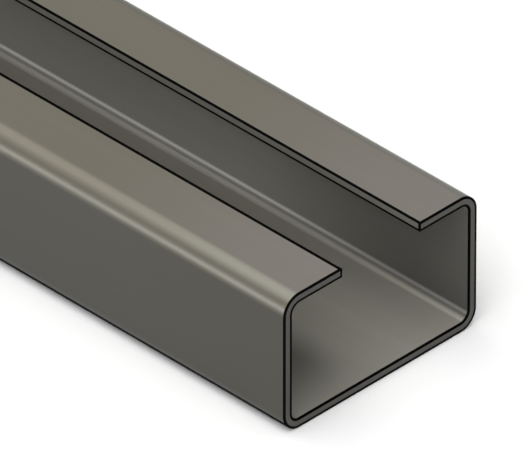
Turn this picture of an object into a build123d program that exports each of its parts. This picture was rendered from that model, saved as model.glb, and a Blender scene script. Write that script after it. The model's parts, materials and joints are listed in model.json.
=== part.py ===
from build123d import *

import os

# A cold-formed steel channel with two inward lips, lying on its web. One strip of sheet is folded
# four times along its length: a flat web, two upright flanges, and two lips that turn in over the
# web and leave an open slot between their edges. The section is the same from end to end, and both
# ends are sawn square.
#
# Frame: X across the web, Y along the length, Z up. The origin is on the underside of the web, at
# the middle of its width and of its length. Sizes are in millimetres.

# Driving dimensions
LENGTH = 1000.0
WEB_WIDTH = 50.0  # over the outer faces of the two flanges
FLANGE_HEIGHT = 30.0  # from the underside of the web to the top of the lips
LIP_WIDTH = 15.0  # from a flange's outer face to the edge of its lip
SHEET_THICKNESS = 2.0
INSIDE_BEND_RADIUS = 2.0
EDGE_BREAK = 0.15  # chamfer along the edges that the saw and the slitting knife left sharp

# Sizes that follow
OUTSIDE_BEND_RADIUS = INSIDE_BEND_RADIUS + SHEET_THICKNESS
SLOT_WIDTH = WEB_WIDTH - 2 * LIP_WIDTH
LIP_MIDDLE_HEIGHT = FLANGE_HEIGHT - SHEET_THICKNESS / 2

PARTS_FOLDER = "parts"


def section_outline() -> Sketch:
    """The folded sheet's cross-section, with the slot between the lips facing up."""
    middle = Pos(0, FLANGE_HEIGHT / 2)
    skin = middle * RectangleRounded(WEB_WIDTH, FLANGE_HEIGHT, OUTSIDE_BEND_RADIUS)
    hollow = middle * RectangleRounded(
        WEB_WIDTH - 2 * SHEET_THICKNESS,
        FLANGE_HEIGHT - 2 * SHEET_THICKNESS,
        INSIDE_BEND_RADIUS,
    )
    slot = Pos(0, LIP_MIDDLE_HEIGHT) * Rectangle(SLOT_WIDTH, 2 * SHEET_THICKNESS)
    return skin - hollow - slot


def sharp_edges(bar: Part) -> ShapeList[Edge]:
    """The outlines of the two sawn ends, and the long edges of the two lips."""
    end_outlines = bar.faces().filter_by(Axis.Y).edges()
    long_edges = bar.edges().filter_by(Axis.Y)
    lip_edges = long_edges.group_by(lambda edge: abs(edge.center().X))[0]
    return end_outlines + lip_edges


def channel() -> Part:
    """The section drawn out to its length, with every cut edge broken."""
    bar = extrude(Plane.XZ * section_outline(), amount=LENGTH / 2, both=True)
    return chamfer(sharp_edges(bar), EDGE_BREAK)


def main() -> None:
    os.makedirs(PARTS_FOLDER, exist_ok=True)
    export_step(channel(), f"{PARTS_FOLDER}/c_channel.step")


main()
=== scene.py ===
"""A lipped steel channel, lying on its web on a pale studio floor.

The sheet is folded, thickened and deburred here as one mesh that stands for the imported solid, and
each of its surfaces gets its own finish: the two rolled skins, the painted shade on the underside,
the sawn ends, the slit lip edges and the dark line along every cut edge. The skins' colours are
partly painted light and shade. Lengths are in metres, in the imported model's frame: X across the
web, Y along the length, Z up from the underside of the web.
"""

import json
import logging
import math
from dataclasses import dataclass, field
from enum import Enum
from typing import Any, Callable, Optional, Union

import bpy
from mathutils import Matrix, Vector

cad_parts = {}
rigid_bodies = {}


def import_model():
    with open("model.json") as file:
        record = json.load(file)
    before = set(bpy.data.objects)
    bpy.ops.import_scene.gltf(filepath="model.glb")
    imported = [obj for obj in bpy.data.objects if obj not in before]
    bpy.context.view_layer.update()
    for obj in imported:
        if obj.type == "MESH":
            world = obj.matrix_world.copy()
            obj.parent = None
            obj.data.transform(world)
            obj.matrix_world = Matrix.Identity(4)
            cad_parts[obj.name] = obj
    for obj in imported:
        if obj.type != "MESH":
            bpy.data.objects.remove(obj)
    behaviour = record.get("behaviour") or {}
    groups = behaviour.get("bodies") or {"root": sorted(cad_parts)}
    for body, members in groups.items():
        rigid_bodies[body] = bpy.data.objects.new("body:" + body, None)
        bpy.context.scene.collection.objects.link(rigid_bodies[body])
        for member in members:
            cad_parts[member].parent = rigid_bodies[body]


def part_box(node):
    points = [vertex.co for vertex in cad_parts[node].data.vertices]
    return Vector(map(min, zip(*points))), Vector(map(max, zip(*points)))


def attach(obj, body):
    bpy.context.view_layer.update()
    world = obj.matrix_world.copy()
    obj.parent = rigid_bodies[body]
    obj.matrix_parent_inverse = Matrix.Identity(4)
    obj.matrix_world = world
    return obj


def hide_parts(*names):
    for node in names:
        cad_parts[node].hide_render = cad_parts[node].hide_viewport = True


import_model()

MM = 0.001
NODE = "c_channel"
BODY = "root"
UV_MAP = "OFBake"

# A face looks along an axis when more of its unit normal than this lies along it, and it runs
# along the axis when less than this does
LOOKS_ALONG = 0.9
RUNS_ALONG = 0.3

# The Mix node's sockets for colours, whose names other kinds of data use as well
MIX_FIRST, MIX_SECOND, MIX_RESULT = 6, 7, 2

Colour = tuple[float, float, float]
Point = tuple[float, float, float]

log = logging.getLogger("channel")


class Value:
    """A number that varies over a surface or over the sky, with Python's operators."""

    def __init__(self, bench: "ShaderBench", socket: bpy.types.NodeSocket) -> None:
        """Wraps a socket.

        Args:
            bench: the bench that adds the Math nodes.
            socket: the output socket that holds the number.
        """
        self.bench = bench
        self.socket = socket

    def __add__(self, other: "Number") -> "Value":
        """self + other"""
        return self.bench.math("ADD", self, other)

    def __radd__(self, other: "Number") -> "Value":
        """other + self"""
        return self.bench.math("ADD", other, self)

    def __sub__(self, other: "Number") -> "Value":
        """self - other"""
        return self.bench.math("SUBTRACT", self, other)

    def __rsub__(self, other: "Number") -> "Value":
        """other - self"""
        return self.bench.math("SUBTRACT", other, self)

    def __mul__(self, other: "Number") -> "Value":
        """self * other"""
        return self.bench.math("MULTIPLY", self, other)

    def __rmul__(self, other: "Number") -> "Value":
        """other * self"""
        return self.bench.math("MULTIPLY", other, self)

    def __truediv__(self, other: "Number") -> "Value":
        """self / other"""
        return self.bench.math("DIVIDE", self, other)

    def __abs__(self) -> "Value":
        """The size of self, without its sign."""
        return self.bench.math("ABSOLUTE", self)


Number = Union[Value, float, int]


class ShaderBench:
    """Lays out the nodes of one material, or of the world."""

    def __init__(self, tree: bpy.types.NodeTree) -> None:
        """Clears the tree.

        Args:
            tree: the node tree to fill.
        """
        self.tree = tree
        tree.nodes.clear()

    def node(
        self,
        kind: str,
        settings: Optional[dict[str, Any]] = None,
        inputs: Optional[dict[Union[str, int], Any]] = None,
    ) -> bpy.types.Node:
        """Adds a node.

        Args:
            kind: the node's type, without its ShaderNode prefix.
            settings: the node's own settings, which are set first.
            inputs: the values or links of its sockets, by name or number.

        Returns:
            The new node.
        """
        made = self.tree.nodes.new("ShaderNode" + kind)
        for name, value in (settings or {}).items():
            setattr(made, name, value)
        self.set_inputs(made, inputs or {})
        return made

    def set_inputs(self, node: bpy.types.Node, inputs: dict[Union[str, int], Any]) -> None:
        """Sets or links a node's sockets.

        Args:
            node: the node.
            inputs: the values or links, by the socket's name or number.
        """
        for key, value in inputs.items():
            source = value.socket if isinstance(value, Value) else value
            if isinstance(source, bpy.types.NodeSocket):
                self.tree.links.new(source, node.inputs[key])
            else:
                node.inputs[key].default_value = source

    def math(self, operation: str, *operands: Number) -> Value:
        """Adds a Math node.

        Args:
            operation: the node's operation.
            operands: one to three numbers.

        Returns:
            Its result.
        """
        made = self.node("Math", {"operation": operation}, dict(enumerate(operands)))
        return Value(self, made.outputs[0])

    def smooth_step(self, value: Value, low: float, high: float) -> Value:
        """A soft step from 0 to 1.

        Args:
            value: what is measured.
            low: where the step starts. It may be above high, and the step then falls.
            high: where the step ends.

        Returns:
            0 on low's side, 1 on high's side, with a smooth change between them.
        """
        made = self.node(
            "MapRange",
            {"interpolation_type": "SMOOTHSTEP"},
            {"Value": value, "From Min": low, "From Max": high},
        )
        return Value(self, made.outputs["Result"])

    def along(self, direction: bpy.types.NodeSocket, toward: Point) -> Value:
        """How far a vector points one way.

        Args:
            direction: the vector.
            toward: the way, of any length.

        Returns:
            Their dot product, with the way at unit length.
        """
        unit = Vector(toward).normalized()
        made = self.node("VectorMath", {"operation": "DOT_PRODUCT"}, {0: direction, 1: unit})
        return Value(self, made.outputs["Value"])

    def parts(self, vector: bpy.types.NodeSocket) -> tuple[Value, Value, Value]:
        """A vector's X, Y and Z as numbers."""
        made = self.node("SeparateXYZ", inputs={0: vector})
        x, y, z = made.outputs
        return Value(self, x), Value(self, y), Value(self, z)

    def scaled(self, colour: Any, share: Value) -> bpy.types.NodeSocket:
        """A colour made lighter or darker by a number that varies."""
        made = self.node("VectorMath", {"operation": "SCALE"}, {0: colour, "Scale": share})
        return made.outputs[0]

    def blend(
        self, share: Number, first: Any, second: Any, way: str = "MIX"
    ) -> bpy.types.NodeSocket:
        """Mixes two colours.

        Args:
            share: how much of the second there is, from 0 to 1.
            first: a colour or a colour socket.
            second: a colour or a colour socket.
            way: the Mix node's blend type.

        Returns:
            The mixed colour.
        """
        made = self.node(
            "Mix",
            {"data_type": "RGBA", "blend_type": way},
            {"Factor": share, MIX_FIRST: opaque(first), MIX_SECOND: opaque(second)},
        )
        return made.outputs[MIX_RESULT]


def opaque(colour: Any) -> Any:
    """A colour with its alpha of 1 added, or a socket as it is."""
    return (*colour, 1.0) if isinstance(colour, tuple) else colour


class Surface(Enum):
    """The kinds of surface on the cut and folded sheet, in the order of its material slots."""

    OUTER = 0
    INNER = 1
    SAWN = 2
    SLIT = 3
    EDGE = 4
    UNDERSIDE = 5


@dataclass(frozen=True)
class Tone:
    """The colour of one wall of the skin, partly the steel's colour and partly painted light and
    shade, which changes towards the two sawn ends.

    It starts to change at one distance from an end and has changed at another, which may lie past
    the end. A climb is painted light and shade: it makes the end's colour that much lighter at the
    top of the section than at its middle, and that much darker at the bottom.
    """

    along: Colour
    end: Colour
    start: float = 60.0 * MM
    stop: float = 0.0 * MM
    painted_climb: float = 0.0

    def at(self, bench: ShaderBench, from_end: Value, rise: Value) -> bpy.types.NodeSocket:
        """The tone's colour.

        Args:
            bench: the material's bench.
            from_end: how far a point lies from the nearer end.
            rise: its height, from -1 at the bottom to 1 at the top.

        Returns:
            The colour there.
        """
        # The climb paints the top lighter and the bottom darker.
        end = bench.scaled(self.end, 1.0 + self.painted_climb * rise)
        return bench.blend(bench.smooth_step(from_end, self.start, self.stop), self.along, end)


@dataclass(frozen=True)
class Stretch:
    """A bend or a wall of the skin, further round the section than the last one.

    Its tone blends in between two places, which are in degrees as the skin measures them.
    """

    tone: Tone
    blend: tuple[float, float]


@dataclass(frozen=True)
class PaintedBendLight:
    """A line painted along the bends of a skin: a painted highlight where its tint is above 1,
    painted shade where it is below.

    Its place is the way round the section, in degrees: 0 on the lips, 90 on the flanges and 180
    on the web. Its tint multiplies the colour under it, so that above 1 the line is lighter. It is
    whole within its core and gone past its reach, both in degrees to each side of its place. The
    left bends may show less of it than the right ones.
    """

    place: float
    reach: float
    tint: Colour
    core: float = 0.0
    on_left: float = 1.0

    def share(self, bench: ShaderBench, place: Value, sideways: Value) -> Value:
        """How much of the line shows.

        Args:
            bench: the material's bench.
            place: where a point lies round the section, in degrees.
            sideways: 0 on the left bends, 1 on the right ones.

        Returns:
            Its share, from 0 to 1.
        """
        side = self.on_left + (1.0 - self.on_left) * sideways
        return side * bench.smooth_step(abs(place - self.place), self.reach, self.core)


@dataclass(frozen=True)
class PaintedSideLight:
    """Painted light across the strip, which gets a little lighter from left to right.

    The left side also has a painted shadow a little way inside each open end. It is deepest from
    its depth to where it starts to clear, and further in it is gone.
    """

    amount: float = 0.0
    reach: float = 16.0 * MM
    shadow_strength: float = 0.0
    shadow_reach: float = 9.0 * MM
    shadow_depth: float = 16.0 * MM
    clear_from: float = 24.0 * MM
    clear_at: float = 48.0 * MM

    def share(self, bench: ShaderBench, x: Value, from_end: Value) -> Value:
        """How light the strip is, with 1 at its middle.

        Args:
            bench: the material's bench.
            x: a point's place across the web.
            from_end: how far it lies from the nearer end.

        Returns:
            The share of the colour that shows there.
        """
        sideways = bench.smooth_step(x, -self.reach, self.reach)
        inside = bench.smooth_step(from_end, 0.0, self.shadow_depth)
        inside = inside * bench.smooth_step(from_end, self.clear_at, self.clear_from)
        # Painted shadow on the left of the web, a little way inside each open end.
        shadowed = bench.smooth_step(x, 0.0, -self.shadow_reach) * inside
        return (1.0 - self.amount + 2 * self.amount * sideways) * (1.0 - self.shadow_strength * shadowed)


@dataclass(frozen=True)
class Marks:
    """One kind of random marks on bare metal, drawn out along the axis that is squeezed.

    There are so many to a metre, with finer layers on top. Between their dips and their peaks the
    metal gets that much lighter, rougher and higher.
    """

    to_a_metre: float
    squeeze: Point
    layers: float = 2.0
    lightening: float = 0.0
    roughening: float = 0.0
    height: float = 0.0

    def strength(self, bench: ShaderBench, where: bpy.types.NodeSocket) -> Value:
        """How strong the marks are.

        Args:
            bench: the material's bench.
            where: the Object coordinates.

        Returns:
            A number around 0, below it in the dips and above it on the peaks.
        """
        squeezed = bench.node("Mapping", inputs={"Vector": where, "Scale": self.squeeze})
        made = bench.node(
            "TexNoise",
            {"noise_dimensions": "3D"},
            {"Vector": squeezed.outputs[0], "Scale": self.to_a_metre, "Detail": self.layers},
        )
        return Value(bench, made.outputs["Fac"]) - 0.5


ROLLING_LINES = Marks(
    900.0, (1.0, 0.006, 1.0), layers=3.0, lightening=0.10, roughening=0.06, height=1.0
)
FINE_GRAIN = Marks(4200.0, (1.0, 0.02, 1.0), layers=1.0, lightening=0.04, height=0.5)
CLOUDS = Marks(38.0, (1.0, 0.35, 1.0), lightening=0.06, roughening=0.04)
SAW_MARKS = Marks(3600.0, (0.05, 1.0, 1.0), lightening=0.16, roughening=0.06, height=1.0)
SLITTING_LINES = Marks(2500.0, (1.0, 0.02, 1.0), lightening=0.12, roughening=0.06)


@dataclass(frozen=True)
class MarkedMetal:
    """Bare metal with one or more kinds of marks over each other."""

    kinds: tuple[Marks, ...]
    roughness: float
    bump: float = 0.0
    bump_height: float = 0.04 * MM

    def total(
        self, base: float, strengths: list[Value], effect: Callable[[Marks], float]
    ) -> Number:
        """Adds up one thing that the marks do.

        Args:
            base: what the metal has without marks.
            strengths: how strong each kind of marks is.
            effect: gives what a kind does at its full strength.

        Returns:
            The base with the effect of each kind added.
        """
        result = base
        for kind, strength in zip(self.kinds, strengths):
            if effect(kind):
                result = result + effect(kind) * strength
        return result

    def dress(
        self, bench: ShaderBench, shader: bpy.types.Node, where: bpy.types.NodeSocket, colour: Any
    ) -> None:
        """Sets the shader's colour, roughness and, where there is a bump, its normal.

        Args:
            bench: the material's bench.
            shader: the material's shader.
            where: the Object coordinates.
            colour: the metal's own colour, or its socket.
        """
        strengths = [kind.strength(bench, where) for kind in self.kinds]
        lightness = self.total(1.0, strengths, lambda kind: kind.lightening)
        bench.set_inputs(shader, {
            "Base Color": bench.scaled(colour, lightness),
            "Roughness": self.total(self.roughness, strengths, lambda kind: kind.roughening),
        })
        if self.bump:
            relief = bench.node("Bump", inputs={
                "Height": self.total(0.0, strengths, lambda kind: kind.height),
                "Strength": self.bump,
                "Distance": self.bump_height,
            })
            bench.set_inputs(shader, {"Normal": relief.outputs["Normal"]})


@dataclass(frozen=True)
class RolledSteel:
    """The satin skin that the rolls leave, with fine lines along the length.

    It starts at the lips with one tone, and blends into another on each stretch towards the web.
    These tones are partly the steel's colour and partly painted light and shade, and its bend lines
    and side light are painted light and shade.
    """

    name: str
    lips: Tone
    stretches: tuple[Stretch, ...]
    painted_bend_lights: tuple[PaintedBendLight, ...]
    painted_side_light: PaintedSideLight = PaintedSideLight()
    metallic: float = 0.5
    metal: MarkedMetal = MarkedMetal(
        (ROLLING_LINES, FINE_GRAIN, CLOUDS), roughness=0.40, bump=0.08
    )

    def way_round(self, bench: ShaderBench, section: "Section", x: Value, z: Value) -> Value:
        """Where a point lies round the section, in degrees from the lips to the web.

        Args:
            bench: the material's bench.
            section: the sheet's cross-section.
            x: the point's place across the web.
            z: its height.

        Returns:
            0 on the lips, 90 on the flanges, 180 on the web, and what lies between on the bends.
        """
        upright = section.height / 2 - section.outside_bend
        rise = z - section.mid_height
        past_flat = bench.math("MAXIMUM", abs(x) - section.flat, 0.0)
        straight = bench.math("MINIMUM", bench.math("MAXIMUM", rise, -upright), upright)
        return math.degrees(1.0) * bench.math("ARCTAN2", past_flat, rise - straight)

    def colour(
        self, bench: ShaderBench, section: "Section", where: bpy.types.NodeSocket
    ) -> bpy.types.NodeSocket:
        """The skin's colour with its painted light and shade, before its lines.

        Args:
            bench: the material's bench.
            section: the sheet's cross-section.
            where: the Object coordinates.

        Returns:
            The colour at each place.
        """
        x, y, z = bench.parts(where)
        from_end = section.half_length - abs(y)
        rise = (z - section.mid_height) / (section.height / 2)
        place = self.way_round(bench, section, x, z)
        colour = self.lips.at(bench, from_end, rise)
        for stretch in self.stretches:
            share = bench.smooth_step(place, *stretch.blend)
            colour = bench.blend(share, colour, stretch.tone.at(bench, from_end, rise))
        sideways = bench.smooth_step(x, -section.flat, section.flat)
        # Painted highlights and painted shade along the bends.
        for line in self.painted_bend_lights:
            share = line.share(bench, place, sideways)
            colour = bench.blend(share, colour, line.tint, "MULTIPLY")
        # Painted light across the strip, and a painted shadow on its left side.
        return bench.scaled(colour, self.painted_side_light.share(bench, x, from_end))

    def material(self, section: "Section") -> bpy.types.Material:
        """Makes the finish.

        Args:
            section: the cross-section of the sheet that it dresses.

        Returns:
            Its material.
        """
        made, bench, shader = new_finish(self.name)
        where = bench.node("TexCoord").outputs["Object"]
        self.metal.dress(bench, shader, where, self.colour(bench, section, where))
        bench.set_inputs(shader, {"Metallic": self.metallic})
        return made


@dataclass(frozen=True)
class SawnSteel:
    """The duller face that a saw leaves across an end, with fine marks along its stroke.

    It is painted lighter on the web, low on the end, against the shade that falls there near the
    floor.
    """

    name: str = "sawn_steel"
    colour: Colour = (0.055, 0.052, 0.045)
    painted_web_light: float = 1.33
    web_top: float = 2.0 * MM
    web_blend: float = 6.0 * MM
    metallic: float = 0.5
    metal: MarkedMetal = MarkedMetal((SAW_MARKS,), roughness=0.46, bump=0.2)

    def material(self) -> bpy.types.Material:
        """Makes the finish.

        Returns:
            Its material.
        """
        made, bench, shader = new_finish(self.name)
        where = bench.node("TexCoord").outputs["Object"]
        on_web = bench.smooth_step(bench.parts(where)[2], self.web_blend, self.web_top)
        # Painted light on the web, against the shade near the floor.
        colour = bench.scaled(self.colour, 1.0 + (self.painted_web_light - 1.0) * on_web)
        self.metal.dress(bench, shader, where, colour)
        bench.set_inputs(shader, {"Metallic": self.metallic})
        return made


@dataclass(frozen=True)
class PlainSteel:
    """A surface of one colour: a slit edge, the dark line along a cut, or the underside's painted
    shade.
    """

    name: str
    colour: Colour
    metallic: float
    roughness: float
    gloss: float = 0.5

    def material(self) -> bpy.types.Material:
        """Makes the finish.

        Returns:
            Its material.
        """
        made, bench, shader = new_finish(self.name)
        where = bench.node("TexCoord").outputs["Object"]
        MarkedMetal((SLITTING_LINES,), self.roughness).dress(bench, shader, where, self.colour)
        bench.set_inputs(shader, {"Metallic": self.metallic, "Specular IOR Level": self.gloss})
        return made


# Painted light and shade: the lips and nearby bends lighter towards the ends, the flanges darker,
# the lower bends darker still as painted shade near the floor, with painted highlights and painted
# shade along the bends.
OUTER_STEEL = RolledSteel(
    "outer_steel",
    lips=Tone((0.202, 0.187, 0.150), (0.250, 0.229, 0.204)),
    stretches=(
        Stretch(Tone((0.200, 0.188, 0.152), (0.243, 0.237, 0.204)), (0.0, 12.0)),
        Stretch(Tone((0.202, 0.187, 0.150), (0.206, 0.191, 0.154)), (34.0, 50.0)),
        Stretch(Tone((0.078, 0.076, 0.067), (0.075, 0.070, 0.060)), (63.0, 90.0)),
        Stretch(Tone((0.040, 0.038, 0.034), (0.040, 0.038, 0.034)), (102.0, 118.0)),
    ),
    painted_bend_lights=(
        PaintedBendLight(place=9.0, reach=14.0, tint=(1.25, 1.26, 1.26)),
        PaintedBendLight(place=30.0, reach=31.0, tint=(0.67, 0.67, 0.66), core=21.0, on_left=0.0),
        PaintedBendLight(place=48.0, reach=11.0, tint=(0.95, 0.95, 0.94)),
        PaintedBendLight(place=66.0, reach=11.0, tint=(1.12, 1.16, 1.27)),
    ),
    metallic=0.8,
)
# Painted light and shade: the inside is lighter than the outside against the shade in the channel,
# its walls darker and its web lighter towards the open ends, its walls lighter at the top, with
# painted highlights and painted shade along the bends and a painted shadow on the left of the web.
INNER_STEEL = RolledSteel(
    "inner_steel",
    lips=Tone(
        (0.350, 0.344, 0.319),
        (0.140, 0.137, 0.126),
        start=64.0 * MM,
        stop=10.0 * MM,
        painted_climb=0.40,
    ),
    stretches=(
        Stretch(
            Tone(
                (0.241, 0.230, 0.199), (0.403, 0.385, 0.343), start=50.0 * MM, stop=-12.0 * MM
            ),
            (92.0, 184.0),
        ),
    ),
    painted_bend_lights=(
        PaintedBendLight(place=109.5, reach=17.0, tint=(2.60, 2.65, 2.74)),
        PaintedBendLight(place=133.0, reach=13.0, tint=(0.72, 0.72, 0.70)),
        PaintedBendLight(place=158.0, reach=18.0, tint=(1.52, 1.50, 1.48)),
    ),
    painted_side_light=PaintedSideLight(amount=0.17, shadow_strength=0.53),
)
SAWN_STEEL = SawnSteel()
SLIT_STEEL = PlainSteel("slit_steel", (0.223, 0.213, 0.187), metallic=0.5, roughness=0.42)
CUT_LINE = PlainSteel(
    "cut_line", (0.0015, 0.0015, 0.0015), metallic=0.0, roughness=0.8, gloss=0.02
)
# Painted shade: the underside and the lower bends near the floor are near black.
PAINTED_UNDER_SHADE = PlainSteel(
    "painted_under_shade", (0.006, 0.006, 0.006), metallic=0.0, roughness=0.85, gloss=0.02
)


def new_finish(name: str) -> tuple[bpy.types.Material, ShaderBench, bpy.types.Node]:
    """Starts a material.

    Args:
        name: its name.

    Returns:
        The material, its bench and its shader, which is wired to the output.
    """
    made = bpy.data.materials.new(name)
    made.use_nodes = True
    bench = ShaderBench(made.node_tree)
    shader = bench.node("BsdfPrincipled")
    bench.node("OutputMaterial", inputs={"Surface": shader.outputs["BSDF"]})
    return made, bench, shader


def deselect_all() -> None:
    """Leaves Object Mode's selection empty."""
    for thing in bpy.context.scene.objects:
        thing.select_set(False)


def make_active(piece: bpy.types.Object) -> None:
    """Selects one object, and nothing else."""
    deselect_all()
    piece.select_set(True)
    bpy.context.view_layer.objects.active = piece


def pick_edges(mesh: bpy.types.Mesh, test: Callable[[bpy.types.MeshEdge], bool]) -> None:
    """Selects some of a mesh's edges, and nothing else, from Object Mode.

    Args:
        mesh: the mesh.
        test: says whether an edge is wanted.
    """
    for group in (mesh.vertices, mesh.edges, mesh.polygons):
        group.foreach_set("select", [False] * len(group))
    for edge in mesh.edges:
        if test(edge):
            edge.select = True
            for corner in edge.vertices:
                mesh.vertices[corner].select = True


def apply_modifier(piece: bpy.types.Object, kind: str, settings: dict[str, Any]) -> None:
    """Adds a modifier and applies it.

    Args:
        piece: the object that it works on.
        kind: the modifier's type.
        settings: its settings.
    """
    make_active(piece)
    made = piece.modifiers.new(kind.lower(), kind)
    for name, value in settings.items():
        setattr(made, name, value)
    bpy.ops.object.modifier_apply(modifier=made.name)


@dataclass(frozen=True)
class Section:
    """The folded sheet's cross-section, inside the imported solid's box."""

    low: Vector
    high: Vector
    lip: float = 15.0 * MM
    sheet: float = 2.0 * MM
    inside_bend: float = 2.0 * MM

    @property
    def outside_bend(self) -> float:
        """The radius of a bend on the outer skin."""
        return self.inside_bend + self.sheet

    @property
    def half_width(self) -> float:
        """From the middle of the web to a flange's outer face."""
        return (self.high.x - self.low.x) / 2

    @property
    def height(self) -> float:
        """From the underside of the web to the top of the lips."""
        return self.high.z - self.low.z

    @property
    def half_length(self) -> float:
        """From the middle of the length to a sawn end."""
        return (self.high.y - self.low.y) / 2

    @property
    def mid_height(self) -> float:
        """The height of the middle of the flanges."""
        return (self.low.z + self.high.z) / 2

    @property
    def flat(self) -> float:
        """From the middle of the web to where a bend starts."""
        return self.half_width - self.outside_bend

    @property
    def slit(self) -> float:
        """From the middle of the web to the slit edge of a lip."""
        return self.half_width - self.lip

    def depth(self, point: Vector) -> float:
        """How far a point lies inside the outer skin."""
        across = max(abs(point.x) - self.half_width + self.outside_bend, 0.0)
        below = self.low.z + self.outside_bend - point.z
        above = point.z - self.high.z + self.outside_bend
        return self.outside_bend - math.hypot(across, max(below, above, 0.0))

    def from_end(self, point: Vector) -> float:
        """How far a point lies from the nearer sawn end."""
        return min(abs(point.y - self.low.y), abs(point.y - self.high.y))

    def girth(self, x: float, z: float, inset: float) -> float:
        """How far round the section a point lies, from the middle of the web.

        Args:
            x: the point's place across the web.
            z: its height.
            inset: how deep in the sheet it lies.

        Returns:
            The distance at that depth, negative on the left.
        """
        bottom, top = self.low.z + inset, self.high.z - inset
        radius = self.outside_bend - inset
        flat, upright = self.flat, top - bottom - 2 * radius
        quarter, across = radius * math.pi / 2, abs(x)
        if across <= flat:
            whole = 2 * (flat + quarter) + upright
            reach = across if z < (bottom + top) / 2 else whole - across
        elif z < bottom + radius:
            reach = flat + radius * math.atan2(across - flat, bottom + radius - z)
        elif z > top - radius:
            turn = math.atan2(z - top + radius, across - flat)
            reach = flat + quarter + upright + radius * turn
        else:
            reach = flat + quarter + (z - bottom - radius)
        return math.copysign(reach, x)


@dataclass
class LippedChannel:
    """One strip of sheet, folded four times, and cut to length.

    Each band is the width of a dark line beside a cut edge, and each burr shifts what lies between
    such lines. The underside's painted shade ends this turn up the lower bends, and angles are in
    degrees.
    """

    section: Section
    edge_break: float = 0.15 * MM
    end_band: float = 0.48 * MM
    end_burr: Point = (-0.18 * MM, 0.0, 0.18 * MM)
    slit_band: float = 0.42 * MM
    slit_burr: Point = (0.0, 0.0, 0.20 * MM)
    skin_band: float = 0.46 * MM
    left_lip_band: float = 0.86 * MM
    right_lip_band: float = 0.52 * MM
    underside_turn: float = 70.0
    bend_steps: int = 18
    sharp_angle: float = 60.0
    smooth_angle: float = 30.0
    flat_weight: int = 100

    def build(self) -> bpy.types.Object:
        """Makes the whole channel.

        Returns:
            The finished piece, in its place and dressed.
        """
        piece = self.fold_sheet()
        self.thicken(piece)
        self.mark_off_bands(piece)
        self.break_edges(piece)
        self.dress(piece)
        self.smooth(piece)
        BakeSheet(self).unroll(piece)
        return piece

    def fold_sheet(self) -> bpy.types.Object:
        """Folds the outer skin from a flat plate.

        Returns:
            The skin, with its faces pointing outwards.
        """
        deselect_all()
        s = self.section
        middle, size = (s.low + s.high) / 2, s.high - s.low
        bpy.ops.mesh.primitive_plane_add(size=1.0, location=(middle.x, middle.y, s.low.z))
        piece = bpy.context.object
        piece.name = piece.data.name = "lipped_channel"
        piece.scale = (size.x, size.y, 1.0)
        bpy.ops.object.transform_apply(location=True, rotation=True, scale=True)
        for side in (-1, 1):
            self.extrude_edge(piece, side * s.half_width, s.low.z, (0.0, 0.0, s.height))
            self.extrude_edge(piece, side * s.half_width, s.high.z, (-side * s.lip, 0.0, 0.0))
        self.bend_folds(piece)
        return piece

    def extrude_edge(self, piece: bpy.types.Object, x: float, z: float, step: Point) -> None:
        """Extrudes the long free edge at one place of the section.

        Args:
            piece: the skin so far.
            x: where the edge is across the web.
            z: how high it is.
            step: how far, and which way.
        """
        pick_edges(piece.data, lambda edge: self.runs_along(piece, edge, [(x, z)]))
        bpy.ops.object.mode_set(mode="EDIT")
        bpy.ops.mesh.select_mode(type="EDGE")
        bpy.ops.mesh.extrude_edges_move(TRANSFORM_OT_translate={"value": step})
        bpy.ops.object.mode_set(mode="OBJECT")

    def runs_along(
        self, piece: bpy.types.Object, edge: bpy.types.MeshEdge, places: list[tuple[float, float]]
    ) -> bool:
        """Whether an edge runs along the length at one of some places of the section.

        Args:
            piece: the skin so far.
            edge: the edge.
            places: each place's X and Z.

        Returns:
            True if it does.
        """
        first, last = (piece.data.vertices[i].co for i in edge.vertices)
        near = self.edge_break
        return abs(first.y - last.y) > near and any(
            max(abs(end.x - x), abs(end.z - z)) < near for x, z in places for end in (first, last)
        )

    def bend_folds(self, piece: bpy.types.Object) -> None:
        """Rounds the four folds, and turns the skin's faces outwards."""
        s = self.section
        folds = [(side * s.half_width, z) for side in (-1, 1) for z in (s.low.z, s.high.z)]
        pick_edges(piece.data, lambda edge: self.runs_along(piece, edge, folds))
        bpy.ops.object.mode_set(mode="EDIT")
        bpy.ops.mesh.bevel(
            offset=s.outside_bend, segments=self.bend_steps, profile=0.5, affect="EDGES"
        )
        bpy.ops.object.mode_set(mode="OBJECT")
        web = min(piece.data.polygons, key=lambda face: face.center.z)
        if web.normal.z > 0:
            bpy.ops.object.mode_set(mode="EDIT")
            bpy.ops.mesh.select_all(action="SELECT")
            bpy.ops.mesh.flip_normals()
            bpy.ops.object.mode_set(mode="OBJECT")

    def thicken(self, piece: bpy.types.Object) -> None:
        """Gives the skin the sheet's thickness, on its inner side."""
        apply_modifier(piece, "SOLIDIFY", {
            "thickness": self.section.sheet,
            "offset": -1.0,
            "use_even_offset": True,
            "use_quality_normals": True,
        })

    def mark_off_bands(self, piece: bpy.types.Object) -> None:
        """Parts off the narrow band of every face beside a cut edge, for its dark line."""
        s = self.section
        end_step = self.inset(self.end_band, self.end_burr)
        self.edit_faces(piece, self.is_end_face, end_step)
        self.edit_faces(piece, self.is_slit_face, self.inset(self.slit_band, self.slit_burr))
        for y in (s.low.y + self.skin_band, s.high.y - self.skin_band):
            self.edit_faces(piece, self.is_skin, self.bisect((0.0, y, 0.0), (0.0, 1.0, 0.0)))
        for x in (-s.slit - self.left_lip_band, s.slit + self.right_lip_band):
            self.edit_faces(piece, self.is_lip, self.bisect((x, 0.0, 0.0), (1.0, 0.0, 0.0)))

    def is_end_face(self, face: bpy.types.MeshPolygon) -> bool:
        """Whether a face lies on a sawn end."""
        return abs(face.normal.y) > LOOKS_ALONG

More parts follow.
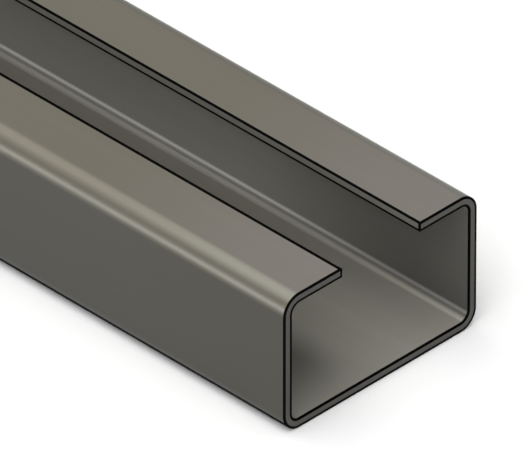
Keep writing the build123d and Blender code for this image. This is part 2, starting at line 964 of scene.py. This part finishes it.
    def is_slit_face(self, face: bpy.types.MeshPolygon) -> bool:
        """Whether a face is the slit edge of a lip."""
        near_slot = abs(face.center.x) < self.section.slit + self.edge_break
        return near_slot and abs(face.normal.x) > LOOKS_ALONG

    def is_skin(self, face: bpy.types.MeshPolygon) -> bool:
        """Whether a face is rolled skin, outer or inner."""
        return abs(face.normal.y) < RUNS_ALONG and not self.is_slit_face(face)

    def is_lip(self, face: bpy.types.MeshPolygon) -> bool:
        """Whether a face is the flat top or underside of a lip."""
        return abs(face.normal.z) > LOOKS_ALONG and face.center.z > self.section.mid_height

    def edit_faces(
        self,
        piece: bpy.types.Object,
        test: Callable[[bpy.types.MeshPolygon], bool],
        step: Callable[[], Any],
    ) -> None:
        """Selects some faces, and nothing else, and works on them in edit mode.

        Args:
            piece: the sheet.
            test: says whether a face is wanted.
            step: the work.
        """
        pick_edges(piece.data, lambda edge: False)
        for face in piece.data.polygons:
            face.select = test(face)
        bpy.ops.object.mode_set(mode="EDIT")
        bpy.ops.mesh.select_mode(type="FACE")
        step()
        bpy.ops.object.mode_set(mode="OBJECT")

    def inset(self, width: float, shift: Point) -> Callable[[], Any]:
        """A step that parts off a band all round the selected faces.

        Args:
            width: the band's width.
            shift: how far what is left then moves, which makes the band wider on the side that it
                leaves, as a cut is where the blade comes out.

        Returns:
            The step.
        """
        def step() -> None:
            """Parts off the band, and then shifts what is left."""
            bpy.ops.mesh.inset(thickness=width, use_even_offset=True)
            bpy.ops.transform.translate(value=shift)

        return step

    def bisect(self, place: Point, normal: Point) -> Callable[[], Any]:
        """A step that cuts the selected faces in two along a plane."""
        return lambda: bpy.ops.mesh.bisect(plane_co=place, plane_no=normal)

    def break_edges(self, piece: bpy.types.Object) -> None:
        """Chamfers the outlines of the ends and the long edges of the lips."""
        pick_edges(piece.data, lambda edge: False)
        bpy.ops.object.mode_set(mode="EDIT")
        bpy.ops.mesh.select_mode(type="EDGE")
        bpy.ops.mesh.edges_select_sharp(sharpness=math.radians(self.sharp_angle))
        bpy.ops.mesh.bevel(offset=self.edge_break, segments=1, affect="EDGES")
        bpy.ops.object.mode_set(mode="OBJECT")

    def surface_of(self, face: bpy.types.MeshPolygon) -> Surface:
        """Which kind of surface a face of the finished sheet is."""
        s = self.section
        depth, from_end = s.depth(face.center), s.from_end(face.center)
        from_slit = abs(face.center.x) - s.slit if face.center.z > s.mid_height else math.inf
        from_skin = min(depth, s.sheet - depth)
        if self.is_end_face(face):
            return Surface.EDGE if min(from_skin, from_slit) < self.end_band else Surface.SAWN
        if self.is_slit_face(face):
            return Surface.EDGE if min(from_skin, from_end) < self.slit_band else Surface.SLIT
        if from_end < self.skin_band or from_slit < self.left_lip_band:
            return Surface.EDGE
        if depth > s.sheet / 2:
            return Surface.INNER
        return Surface.UNDERSIDE if self.is_underside(face) else Surface.OUTER

    def is_underside(self, face: bpy.types.MeshPolygon) -> bool:
        """Whether a face of the outer skin lies on the web or on the lower part of a bend."""
        s = self.section
        across, down = abs(face.center.x) - s.flat, s.low.z + s.outside_bend - face.center.z
        return down > 0 and math.degrees(math.atan2(max(across, 0.0), down)) < self.underside_turn

    def dress(self, piece: bpy.types.Object) -> None:
        """Gives each face the finish of its kind of surface."""
        finishes = {
            Surface.OUTER: OUTER_STEEL.material(self.section),
            Surface.INNER: INNER_STEEL.material(self.section),
            Surface.SAWN: SAWN_STEEL.material(),
            Surface.SLIT: SLIT_STEEL.material(),
            Surface.EDGE: CUT_LINE.material(),
            Surface.UNDERSIDE: PAINTED_UNDER_SHADE.material(),
        }
        for surface in Surface:
            piece.data.materials.append(finishes[surface])
        for face in piece.data.polygons:
            face.material_index = self.surface_of(face).value

    def smooth(self, piece: bpy.types.Object) -> None:
        """Shades the bends smooth, and keeps the flat faces flat."""
        make_active(piece)
        bpy.ops.object.shade_smooth_by_angle(angle=math.radians(self.smooth_angle))
        apply_modifier(piece, "WEIGHTED_NORMAL", {"weight": self.flat_weight, "keep_sharp": True})


@dataclass
class BakeSheet:
    """The flat layout of the channel's surfaces, as strips that run across the map."""

    channel: LippedChannel
    margin: float = 0.006
    gap: float = 0.009
    shares: dict[str, float] = field(default_factory=lambda: {
        "outer": 0.460,
        "inner": 0.395,
        "left_lip": 0.018,
        "right_lip": 0.018,
        "near_end": 0.018,
        "far_end": 0.018,
    })

    def unroll(self, piece: bpy.types.Object) -> None:
        """Writes the layout as a UV map.

        Args:
            piece: the channel's mesh.
        """
        mesh = piece.data
        while mesh.uv_layers:
            mesh.uv_layers.remove(mesh.uv_layers[0])
        layer = mesh.uv_layers.new(name=UV_MAP)
        bottoms, height = {}, self.margin
        for name, share in self.shares.items():
            bottoms[name] = height
            height += share + self.gap
        for face in mesh.polygons:
            name = self.strip_of(face)
            for corner in face.loop_indices:
                point = mesh.vertices[mesh.loops[corner].vertex_index].co
                across, up = self.place(name, point, face)
                layer.data[corner].uv = (across, bottoms[name] + up * self.shares[name])

    def strip_of(self, face: bpy.types.MeshPolygon) -> str:
        """The name of the strip that a face goes on."""
        c, s = self.channel, self.channel.section
        surface = Surface(face.material_index)
        if surface is Surface.INNER:
            return "inner"
        if surface in (Surface.OUTER, Surface.UNDERSIDE):
            return "outer"
        if surface is Surface.SAWN or s.from_end(face.center) < c.skin_band:
            return "near_end" if face.center.y < (s.low.y + s.high.y) / 2 else "far_end"
        return "left_lip" if face.center.x < 0 else "right_lip"

    def place(self, name: str, point: Vector, face: bpy.types.MeshPolygon) -> tuple[float, float]:
        """Where a corner of a face lies on its strip.

        Args:
            name: the strip's name.
            point: the corner.
            face: the face.

        Returns:
            U on the map, and V from 0 to 1 on the strip.
        """
        c, s = self.channel, self.channel.section
        depth = min(max(s.depth(point), 0.0), s.sheet)
        full = s.girth(s.slit, s.high.z - depth, depth)
        share = 0.5 + 0.5 * s.girth(point.x, point.z, depth) / full
        lengthwise = (point.y - s.low.y) / (s.high.y - s.low.y)
        room = 1 - 2 * self.margin
        if name in ("outer", "inner"):
            return self.margin + room * lengthwise, share
        if name.endswith("lip"):
            beyond = abs(point.x) - s.slit
            return self.margin + room * lengthwise, self.round_edge(depth, beyond)
        beyond = s.from_end(point)
        if c.is_slit_face(face):
            share += math.copysign(beyond / (2 * full), point.x)
            beyond = 0.0
        return 2 * self.margin + (1 - 4 * self.margin) * share, self.round_edge(depth, beyond)

    def round_edge(self, depth: float, beyond: float) -> float:
        """Unrolls the sheet's cut face, with the band of skin beside it on each side.

        Args:
            depth: how deep in the sheet a point lies.
            beyond: how far it lies from the cut face.

        Returns:
            Its place from 0 on the outer skin to 1 on the inner skin.
        """
        band, sheet = self.channel.left_lip_band, self.channel.section.sheet
        turned = depth - beyond if depth < sheet / 2 else depth + beyond
        return (turned + band) / (sheet + 2 * band)


def toward(azimuth: float, elevation: float) -> Point:
    """A unit vector by its angles in degrees: azimuth from +X towards +Y, elevation from level."""
    turn, rise = math.radians(azimuth), math.radians(elevation)
    return (math.cos(turn) * math.cos(rise), math.sin(turn) * math.cos(rise), math.sin(rise))


@dataclass(frozen=True)
class Glow:
    """A soft round patch of light on the studio's dome."""

    toward: Point
    colour: Colour
    strength: float
    inner: float
    outer: float

    def mask(self, bench: ShaderBench, direction: bpy.types.NodeSocket) -> Value:
        """1 within the inner angle, 0 past the outer one.

        Args:
            bench: the world's bench.
            direction: the way that is looked along.

        Returns:
            The patch's shape.
        """
        facing = bench.along(direction, self.toward)
        low, high = (math.cos(math.radians(angle)) for angle in (self.outer, self.inner))
        return bench.smooth_step(facing, low, high)


@dataclass(frozen=True)
class HorizonStrip:
    """A low strip of light along part of the horizon, as a long window gives."""

    toward: Point
    colour: Colour
    strength: float
    top: float
    spread: float
    softness: float = 0.5

    def mask(self, bench: ShaderBench, direction: bpy.types.NodeSocket) -> Value:
        """1 inside the strip, 0 outside it.

        Args:
            bench: the world's bench.
            direction: the way that is looked along.

        Returns:
            The strip's shape.
        """
        facing = bench.along(direction, self.toward)
        sideways = bench.smooth_step(facing, math.cos(math.radians(self.spread)), 1.0)
        height = bench.parts(direction)[2]
        above, below = (1.0 + self.softness) * self.top, (1.0 - self.softness) * self.top
        return sideways * bench.smooth_step(height, above, below)


@dataclass
class StudioDome:
    """The light from all round: an even dome, with softer and brighter patches."""

    dome: Colour = (0.40, 0.40, 0.40)
    backdrop: Colour = (1.0, 1.0, 1.0)
    horizon_blend: float = 0.02
    patches: tuple[Union[Glow, HorizonStrip], ...] = (
        Glow(toward(180.0, 68.0), (1.0, 1.0, 1.0), strength=1.86, inner=5.0, outer=40.0),
        Glow(toward(225.0, 40.0), (1.0, 1.0, 1.0), strength=1.80, inner=5.0, outer=40.0),
        Glow(toward(88.0, 55.0), (1.0, 0.98, 0.92), strength=1.30, inner=3.0, outer=24.0),
        Glow(toward(45.0, 12.0), (1.0, 1.0, 1.0), strength=0.41, inner=5.0, outer=40.0),
        HorizonStrip(toward(144.7, 0.0), (0.95, 1.0, 1.0), strength=1.89, top=0.10, spread=35.0),
        HorizonStrip(toward(144.7, 0.0), (0.95, 1.0, 1.0), strength=1.55, top=0.17, spread=50.0),
    )

    def build(self) -> bpy.types.World:
        """Paints the dome.

        Returns:
            The scene's world.
        """
        world = bpy.data.worlds.new("studio_dome")
        world.use_nodes = True
        bpy.context.scene.world = world
        bench = ShaderBench(world.node_tree)
        direction = bench.node("TexCoord").outputs["Generated"]
        height = bench.parts(direction)[2]
        light = self.dome
        for patch in self.patches:
            tint = tuple(channel * patch.strength for channel in patch.colour)
            shine = bench.scaled(tint, patch.mask(bench, direction))
            total = bench.node("VectorMath", {"operation": "ADD"}, {0: light, 1: shine})
            light = total.outputs[0]
        above = bench.smooth_step(height, -self.horizon_blend, 0.0)
        seen = bench.blend(above, self.backdrop, light)
        glow = bench.node("Background", inputs={"Color": seen, "Strength": 1.0})
        bench.node("OutputWorld", inputs={"Surface": glow.outputs[0]})
        return world


@dataclass
class StudioFloor:
    """A plain pale floor that reaches as far as any view does."""

    reach: float = 60.0
    colour: Colour = (0.88, 0.88, 0.88)
    seen: Colour = (1.0, 1.0, 1.0)

    def build(self) -> bpy.types.Object:
        """Lays the floor.

        Returns:
            The floor's object, marked as no part of the channel.
        """
        deselect_all()
        bpy.ops.mesh.primitive_plane_add(size=2 * self.reach, location=(0.0, 0.0, 0.0))
        floor = bpy.context.object
        floor.name = "studio_floor"
        made = bpy.data.materials.new("floor_paint")
        made.use_nodes = True
        bench = ShaderBench(made.node_tree)
        path = bench.node("LightPath").outputs
        direct, mirrored, through = (
            Value(bench, path[f"Is {kind} Ray"]) for kind in ("Camera", "Glossy", "Transmission")
        )
        sight = bench.math("MAXIMUM", bench.math("MAXIMUM", direct, mirrored), through)
        colour = bench.blend(sight, self.colour, self.seen)
        paint = bench.node("BsdfDiffuse", inputs={"Color": colour})
        bench.node("OutputMaterial", inputs={"Surface": paint.outputs[0]})
        floor.data.materials.append(made)
        return floor


@dataclass
class PictureCamera:
    """A long lens that looks down on the near end, close to a true isometric view.

    It sees what lies between two shares of its distance to the target.
    """

    target: Point = (2.25 * MM, -466.98 * MM, 15.0 * MM)
    sight: Point = (1.0, 0.9977, -0.9959)
    frame_width: float = 96.30 * MM
    lens: float = 1500.0
    sensor: float = 36.0
    nearest: float = 0.01
    furthest: float = 30.0

    def build(self) -> bpy.types.Object:
        """Sets up the camera.

        Returns:
            The camera's object.
        """
        data = bpy.data.cameras.new("picture_camera")
        data.lens = self.lens
        data.sensor_width = self.sensor
        distance = self.frame_width * self.lens / self.sensor
        data.clip_start, data.clip_end = self.nearest * distance, self.furthest * distance
        camera = bpy.data.objects.new("picture_camera", data)
        bpy.context.scene.collection.objects.link(camera)
        sight = Vector(self.sight).normalized()
        camera.location = Vector(self.target) - sight * distance
        camera.rotation_mode = "QUATERNION"
        camera.rotation_quaternion = sight.to_track_quat("-Z", "Y")
        bpy.context.scene.camera = camera
        return camera


def main() -> None:
    """Builds the channel, the studio and the camera."""
    logging.basicConfig(level=logging.INFO, format="%(name)s: %(message)s")
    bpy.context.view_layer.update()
    camera = PictureCamera().build()
    section = Section(*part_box(NODE))
    channel = LippedChannel(section).build()
    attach(channel, BODY)
    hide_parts(NODE)
    log.info("%s: %d faces", channel.name, len(channel.data.polygons))
    floor, world = StudioFloor().build(), StudioDome().build()
    for made in (floor, world, camera):
        log.info("%s: in place", made.name)
    bpy.context.scene.view_settings.view_transform = "Standard"


if __name__ == "__main__":
    main()
